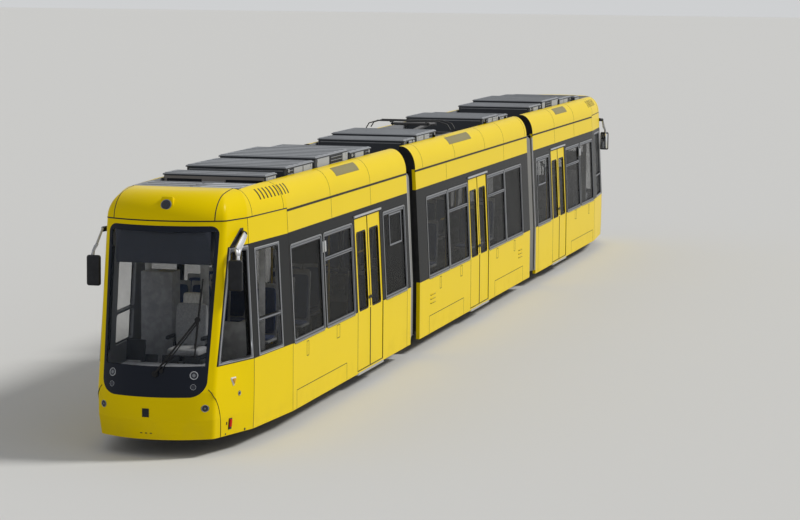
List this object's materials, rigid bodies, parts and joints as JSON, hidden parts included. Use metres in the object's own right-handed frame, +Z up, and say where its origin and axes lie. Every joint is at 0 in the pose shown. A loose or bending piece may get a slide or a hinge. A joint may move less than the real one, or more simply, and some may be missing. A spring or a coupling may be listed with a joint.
{
  "type": "articulated tram",
  "caption": "Articulated low-floor tram with a cab at each end, hinged sections joined by bellows, turning bogies with rolling wheelsets and a folding roof pantograph.",
  "frame": {"origin": "middle of the tram on the plane under its wheel flanges", "axes": "+X along the tram from the front cab to the rear cab, +Y across it, +Z up"},
  "size_m": [29.6, 2.3, 3.659],
  "materials": {
    "yellow_paint": "gloss yellow paint",
    "dark_band": "gloss anthracite paint",
    "windscreen_glass": "tinted laminated glass with a black printed edge",
    "lamp_glass": "clear lamp covers",
    "tinted_glass": "tinted side glass",
    "floor_covering": "dark grey floor covering and steel underframe",
    "seat_fabric": "blue seat covering",
    "cab_grey": "grey desk and partition",
    "case_grey": "satin grey roof cases",
    "mirror_housing": "black mirror housings on grey arms",
    "bellows_rubber": "dark grey folded bellows",
    "bogie_paint": "dusty dark grey paint",
    "wheel_steel": "rolled steel, bright treads",
    "insulator_and_frame": "grey frame on brown insulators",
    "arm_paint": "grey painted tube",
    "contact_carbon": "carbon strips on aluminium"
  },
  "bodies": {
    "middle_section": {"middle_side_panels": "yellow_paint", "middle_window_band": "dark_band", "middle_doors": "yellow_paint", "middle_side_glass": "tinted_glass", "middle_roof": "yellow_paint", "middle_floor": "floor_covering", "middle_seats": "seat_fabric", "middle_roof_units": "case_grey", "pantograph_base": "insulator_and_frame"},
    "front_section": {"front_cab_shell": "yellow_paint", "front_windscreen": "windscreen_glass", "front_lamps": "lamp_glass", "front_side_panels": "yellow_paint", "front_window_band": "dark_band", "front_doors": "yellow_paint", "front_side_glass": "tinted_glass", "front_roof": "yellow_paint", "front_floor": "floor_covering", "front_seats": "seat_fabric", "front_cab_interior": "cab_grey", "front_roof_units": "case_grey", "front_mirrors": "mirror_housing", "front_bellows": "bellows_rubber"},
    "rear_section": {"rear_cab_shell": "yellow_paint", "rear_windscreen": "windscreen_glass", "rear_lamps": "lamp_glass", "rear_side_panels": "yellow_paint", "rear_window_band": "dark_band", "rear_doors": "yellow_paint", "rear_side_glass": "tinted_glass", "rear_roof": "yellow_paint", "rear_floor": "floor_covering", "rear_seats": "seat_fabric", "rear_cab_interior": "cab_grey", "rear_roof_units": "case_grey", "rear_mirrors": "mirror_housing", "rear_bellows": "bellows_rubber"},
    "front_bogie": {"front_bogie": "bogie_paint"},
    "front_bogie_first_wheelset": {"front_bogie_first_wheelset": "wheel_steel"},
    "front_bogie_second_wheelset": {"front_bogie_second_wheelset": "wheel_steel"},
    "middle_front_bogie": {"middle_front_bogie": "bogie_paint"},
    "middle_front_bogie_first_wheelset": {"middle_front_bogie_first_wheelset": "wheel_steel"},
    "middle_front_bogie_second_wheelset": {"middle_front_bogie_second_wheelset": "wheel_steel"},
    "middle_rear_bogie": {"middle_rear_bogie": "bogie_paint"},
    "middle_rear_bogie_first_wheelset": {"middle_rear_bogie_first_wheelset": "wheel_steel"},
    "middle_rear_bogie_second_wheelset": {"middle_rear_bogie_second_wheelset": "wheel_steel"},
    "rear_bogie": {"rear_bogie": "bogie_paint"},
    "rear_bogie_first_wheelset": {"rear_bogie_first_wheelset": "wheel_steel"},
    "rear_bogie_second_wheelset": {"rear_bogie_second_wheelset": "wheel_steel"},
    "pantograph_lower_arm": {"pantograph_lower_arm": "arm_paint"},
    "pantograph_upper_arm": {"pantograph_upper_arm": "arm_paint"},
    "pantograph_head": {"pantograph_head": "contact_carbon"}
  },
  "joints": [
    {"name": "front_articulation", "type": "hinge", "parent": "middle_section", "child": "front_section", "pos_m": [-4.94, 0, 0.372], "axis": [0, 0, 1], "range_deg": [-28, 28], "deforming": ["front_bellows"]},
    {"name": "rear_articulation", "type": "hinge", "parent": "middle_section", "child": "rear_section", "pos_m": [4.94, 0, 0.372], "axis": [0, 0, 1], "range_deg": [-28, 28], "deforming": ["rear_bellows"]},
    {"name": "front_bogie_yaw", "type": "hinge", "parent": "front_section", "child": "front_bogie", "pos_m": [-10.6, 0, 0.622], "axis": [0, 0, 1], "range_deg": [-6, 6]},
    {"name": "front_bogie_first_wheelset_roll", "type": "hinge", "parent": "front_bogie", "child": "front_bogie_first_wheelset", "pos_m": [-11.5, 0, 0.317], "axis": [0, 1, 0], "continuous": true},
    {"name": "front_bogie_second_wheelset_roll", "type": "hinge", "parent": "front_bogie", "child": "front_bogie_second_wheelset", "pos_m": [-9.7, 0, 0.317], "axis": [0, 1, 0], "continuous": true},
    {"name": "middle_front_bogie_yaw", "type": "hinge", "parent": "middle_section", "child": "middle_front_bogie", "pos_m": [-2.63, 0, 0.622], "axis": [0, 0, 1], "range_deg": [-8, 8]},
    {"name": "middle_front_bogie_first_wheelset_roll", "type": "hinge", "parent": "middle_front_bogie", "child": "middle_front_bogie_first_wheelset", "pos_m": [-3.53, 0, 0.317], "axis": [0, 1, 0], "continuous": true},
    {"name": "middle_front_bogie_second_wheelset_roll", "type": "hinge", "parent": "middle_front_bogie", "child": "middle_front_bogie_second_wheelset", "pos_m": [-1.73, 0, 0.317], "axis": [0, 1, 0], "continuous": true},
    {"name": "middle_rear_bogie_yaw", "type": "hinge", "parent": "middle_section", "child": "middle_rear_bogie", "pos_m": [2.63, 0, 0.622], "axis": [0, 0, 1], "range_deg": [-8, 8]},
    {"name": "middle_rear_bogie_first_wheelset_roll", "type": "hinge", "parent": "middle_rear_bogie", "child": "middle_rear_bogie_first_wheelset", "pos_m": [3.53, 0, 0.317], "axis": [0, 1, 0], "continuous": true},
    {"name": "middle_rear_bogie_second_wheelset_roll", "type": "hinge", "parent": "middle_rear_bogie", "child": "middle_rear_bogie_second_wheelset", "pos_m": [1.73, 0, 0.317], "axis": [0, 1, 0], "continuous": true},
    {"name": "rear_bogie_yaw", "type": "hinge", "parent": "rear_section", "child": "rear_bogie", "pos_m": [10.6, 0, 0.622], "axis": [0, 0, 1], "range_deg": [-6, 6]},
    {"name": "rear_bogie_first_wheelset_roll", "type": "hinge", "parent": "rear_bogie", "child": "rear_bogie_first_wheelset", "pos_m": [11.5, 0, 0.317], "axis": [0, 1, 0], "continuous": true},
    {"name": "rear_bogie_second_wheelset_roll", "type": "hinge", "parent": "rear_bogie", "child": "rear_bogie_second_wheelset", "pos_m": [9.7, 0, 0.317], "axis": [0, 1, 0], "continuous": true},
    {"name": "pantograph_raise", "type": "hinge", "parent": "middle_section", "child": "pantograph_lower_arm", "pos_m": [-0.75, 0, 3.432], "axis": [0, -1, 0], "range_deg": [0, 52]},
    {"name": "pantograph_knuckle", "type": "hinge", "parent": "pantograph_lower_arm", "child": "pantograph_upper_arm", "pos_m": [0.74794, 0, 3.5105], "axis": [0, -1, 0], "range_deg": [-104, 0]},
    {"name": "pantograph_head_level", "type": "hinge", "parent": "pantograph_upper_arm", "child": "pantograph_head", "pos_m": [-0.75, 0, 3.58901], "axis": [0, -1, 0], "range_deg": [0, 52]}
  ],
  "couplings": [
    {"joint": "pantograph_knuckle", "follows": "pantograph_raise", "ratio": -2},
    {"joint": "pantograph_head_level", "follows": "pantograph_raise", "ratio": 1}
  ]
}
